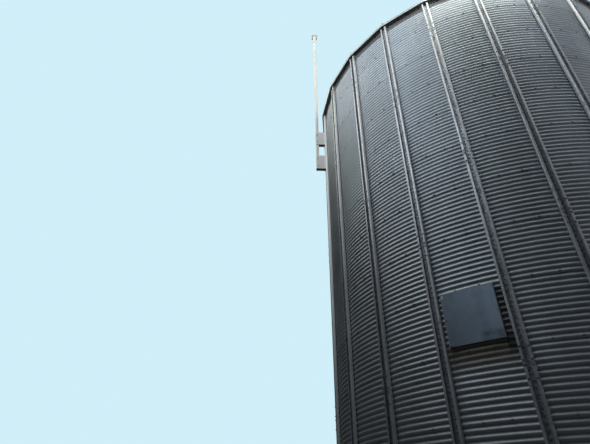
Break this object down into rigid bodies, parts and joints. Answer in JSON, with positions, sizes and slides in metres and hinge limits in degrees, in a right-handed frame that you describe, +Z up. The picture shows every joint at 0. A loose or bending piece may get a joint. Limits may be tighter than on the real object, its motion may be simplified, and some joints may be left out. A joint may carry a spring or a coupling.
{
  "type": "grain silo",
  "caption": "Round flat-bottomed corrugated steel grain silo with outside stiffeners, a ribbed conical roof with a filling collar, and a bracketed catwalk post.",
  "frame": {"origin": "on the silo's vertical axis at ground level, under the middle of the floor slab", "axes": "+Z up along the silo's axis; -Y points out through the bay with the cover plate; the catwalk post stands in the -X, -Y quarter"},
  "size_m": [7.6146, 7.6146, 14.5],
  "materials": {
    "wall_sheet": "weathered galvanised corrugated sheet",
    "stiffener_steel": "galvanised cold-formed channel",
    "roof_sheet": "galvanised roof panel",
    "eave_closure": "dark shadowed closure strip",
    "collar_steel": "galvanised rolled sheet",
    "floor_concrete": "trowelled concrete",
    "cover_sheet": "flat galvanised sheet, darkened and stained",
    "post_steel": "hot-dip galvanised square tube",
    "bracket_steel": "hot-dip galvanised folded plate"
  },
  "bodies": {
    "root": {"wall_segment_1": "wall_sheet", "wall_segment_2": "wall_sheet", "wall_segment_3": "wall_sheet", "wall_segment_4": "wall_sheet", "wall_segment_5": "wall_sheet", "wall_segment_6": "wall_sheet", "wall_segment_7": "wall_sheet", "wall_segment_8": "wall_sheet", "stiffener_01": "stiffener_steel", "stiffener_02": "stiffener_steel", "stiffener_03": "stiffener_steel", "stiffener_04": "stiffener_steel", "stiffener_05": "stiffener_steel", "stiffener_06": "stiffener_steel", "stiffener_07": "stiffener_steel", "stiffener_08": "stiffener_steel", "stiffener_09": "stiffener_steel", "stiffener_10": "stiffener_steel", "stiffener_11": "stiffener_steel", "stiffener_12": "stiffener_steel", "stiffener_13": "stiffener_steel", "stiffener_14": "stiffener_steel", "stiffener_15": "stiffener_steel", "stiffener_16": "stiffener_steel", "stiffener_17": "stiffener_steel", "stiffener_18": "stiffener_steel", "stiffener_19": "stiffener_steel", "stiffener_20": "stiffener_steel", "stiffener_21": "stiffener_steel", "stiffener_22": "stiffener_steel", "stiffener_23": "stiffener_steel", "stiffener_24": "stiffener_steel", "roof_sector_1": "roof_sheet", "roof_sector_2": "roof_sheet", "roof_sector_3": "roof_sheet", "roof_sector_4": "roof_sheet", "roof_sector_5": "roof_sheet", "roof_sector_6": "roof_sheet", "eave_band": "eave_closure", "roof_collar": "collar_steel", "floor_slab": "floor_concrete", "cover_plate": "cover_sheet", "catwalk_post": "post_steel", "post_bracket_lower": "bracket_steel", "post_bracket_upper": "bracket_steel"}
  },
  "joints": []
}
